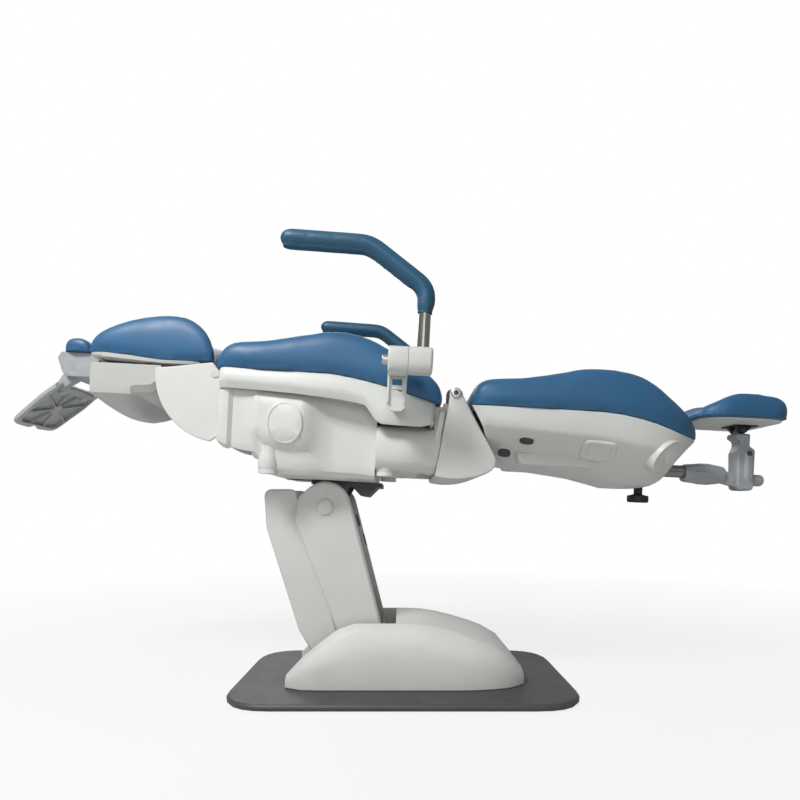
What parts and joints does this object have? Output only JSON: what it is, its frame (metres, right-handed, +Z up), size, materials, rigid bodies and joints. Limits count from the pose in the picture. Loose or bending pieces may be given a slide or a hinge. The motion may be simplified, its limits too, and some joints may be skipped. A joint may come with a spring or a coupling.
{
  "type": "examination chair",
  "caption": "Powered examination chair laid flat: blue padded leg rest, seat, back and jointed headrest on moulded shells, swing-away armrests, parallel-arm lift on a floor base.",
  "frame": {"origin": "on the floor under the middle of the base plate", "axes": "+Z up, +X towards the head end, -Y the side nearest the camera"},
  "size_m": [2.134, 0.74, 1.1511],
  "materials": {
    "shell": "satin",
    "painted_arm": "satin",
    "vinyl": "satin",
    "grip_vinyl": "satin",
    "frame_paint": "satin",
    "grey_casting": "satin",
    "steel": "satin",
    "bright_steel": "polished",
    "pin_cap": "satin",
    "black_plastic": "matte",
    "motor_case": "matte",
    "board": "matte"
  },
  "bodies": {
    "base": {"base_plate": "frame_paint", "base_cover": "shell", "base_bracket": "frame_paint", "lower_pin": "steel", "lower_link_pin": "steel", "power_unit": "motor_case"},
    "lift_arm": {"lift_arm": "painted_arm", "upper_pin": "pin_cap"},
    "lift_link": {"lift_link": "painted_arm", "upper_link_pin": "steel"},
    "seat": {"carriage": "frame_paint", "seat_frame": "frame_paint", "seat_housing": "shell", "seat_tray": "shell", "seat_cushion": "vinyl", "leg_cheek_near": "shell", "leg_cheek_far": "shell", "leg_pin_near": "steel", "leg_pin_far": "steel", "rear_housing": "shell", "back_actuator": "motor_case", "back_pin_near": "steel", "back_pin_far": "steel", "armrest_bracket_near": "painted_arm", "armrest_bracket_far": "painted_arm", "armrest_shaft_near": "steel", "armrest_shaft_far": "steel"},
    "leg_rest": {"leg_cushion": "vinyl", "leg_pan": "shell", "leg_shell": "shell", "leg_frame": "frame_paint", "end_bracket": "grey_casting", "end_pad": "vinyl", "foot_pin": "steel"},
    "footplate": {"footplate": "shell"},
    "back_rest": {"back_cushion": "vinyl", "back_shell": "shell", "back_board": "board", "back_frame": "frame_paint", "back_sector": "shell", "headrest_guide": "frame_paint"},
    "hinge_cover": {"hinge_cover": "shell"},
    "headrest_stem": {"headrest_rod": "bright_steel", "headrest_yoke": "grey_casting"},
    "headrest_link": {"headrest_link": "grey_casting", "headrest_low_pin": "steel", "headrest_top_pin": "steel"},
    "headrest": {"headrest_block": "black_plastic", "headrest_shell": "shell", "headrest_cushion": "vinyl"},
    "release_button": {"release_button": "grey_casting"},
    "clamp_knob": {"clamp_knob": "black_plastic"},
    "armrest_near": {"armrest_block_near": "painted_arm", "armrest_post_near": "bright_steel", "armrest_pad_near": "grip_vinyl"},
    "armrest_far": {"armrest_block_far": "painted_arm", "armrest_post_far": "bright_steel", "armrest_pad_far": "grip_vinyl"}
  },
  "joints": [
    {"name": "lift", "type": "hinge", "parent": "base", "child": "lift_arm", "pos_m": [-0.10588, 0, 0.12991], "axis": [0, -1, 0], "range_deg": [0, 44]},
    {"name": "lift_parallel", "type": "hinge", "parent": "base", "child": "lift_link", "pos_m": [-0.20088, 0, 0.08991], "axis": [0, -1, 0], "range_deg": [0, 44]},
    {"name": "seat_level", "type": "hinge", "parent": "lift_arm", "child": "seat", "pos_m": [-0.212, 0, 0.5], "axis": [0, -1, 0], "range_deg": [-44, 0]},
    {"name": "leg_lower", "type": "hinge", "parent": "seat", "child": "leg_rest", "pos_m": [-0.47944, 0, 0.84247], "axis": [0, -1, 0], "range_deg": [0, 75]},
    {"name": "footplate_fold", "type": "hinge", "parent": "leg_rest", "child": "footplate", "pos_m": [-0.94543, 0, 0.83584], "axis": [0, 1, 0], "range_deg": [0, 84]},
    {"name": "back_raise", "type": "hinge", "parent": "seat", "child": "back_rest", "pos_m": [0.13682, 0, 0.79315], "axis": [0, -1, 0], "range_deg": [0, 70]},
    {"name": "hinge_cover_turn", "type": "hinge", "parent": "seat", "child": "hinge_cover", "pos_m": [0.13682, 0, 0.79315], "axis": [0, -1, 0], "range_deg": [0, 31.5]},
    {"name": "headrest_slide", "type": "slide", "parent": "back_rest", "child": "headrest_stem", "axis": [0.9986, 0, -0.0523], "range_m": [0, 0.11]},
    {"name": "headrest_link_tilt", "type": "hinge", "parent": "headrest_stem", "child": "headrest_link", "pos_m": [0.97517, 0, 0.57147], "axis": [0, 1, 0], "range_deg": [0, 40]},
    {"name": "headrest_tilt", "type": "hinge", "parent": "headrest_link", "child": "headrest", "pos_m": [0.97523, 0, 0.72167], "axis": [0, 1, 0], "range_deg": [0, 40]},
    {"name": "release_press", "type": "slide", "parent": "headrest_link", "child": "release_button", "axis": [-0.9986, 0, 0.0523], "range_m": [0, 0.003], "stiffness_N_per_m": 600, "springref_m": -0.004},
    {"name": "knob_turn", "type": "hinge", "parent": "back_rest", "child": "clamp_knob", "pos_m": [0.68594, 0, 0.60916], "axis": [0.0523, 0, 0.9986], "range_deg": [-180, 180]},
    {"name": "armrest_near_swing", "type": "hinge", "parent": "seat", "child": "armrest_near", "pos_m": [0.0451, -0.34, 0.83901], "axis": [0.9986, 0, -0.0523], "range_deg": [0, 95]},
    {"name": "armrest_far_swing", "type": "hinge", "parent": "seat", "child": "armrest_far", "pos_m": [0.0451, 0.34, 0.83901], "axis": [-0.9986, 0, 0.0523], "range_deg": [0, 95]}
  ],
  "couplings": [
    {"joint": "lift_parallel", "follows": "lift", "ratio": 1},
    {"joint": "seat_level", "follows": "lift", "ratio": -1},
    {"joint": "hinge_cover_turn", "follows": "back_raise", "ratio": 0.45}
  ]
}
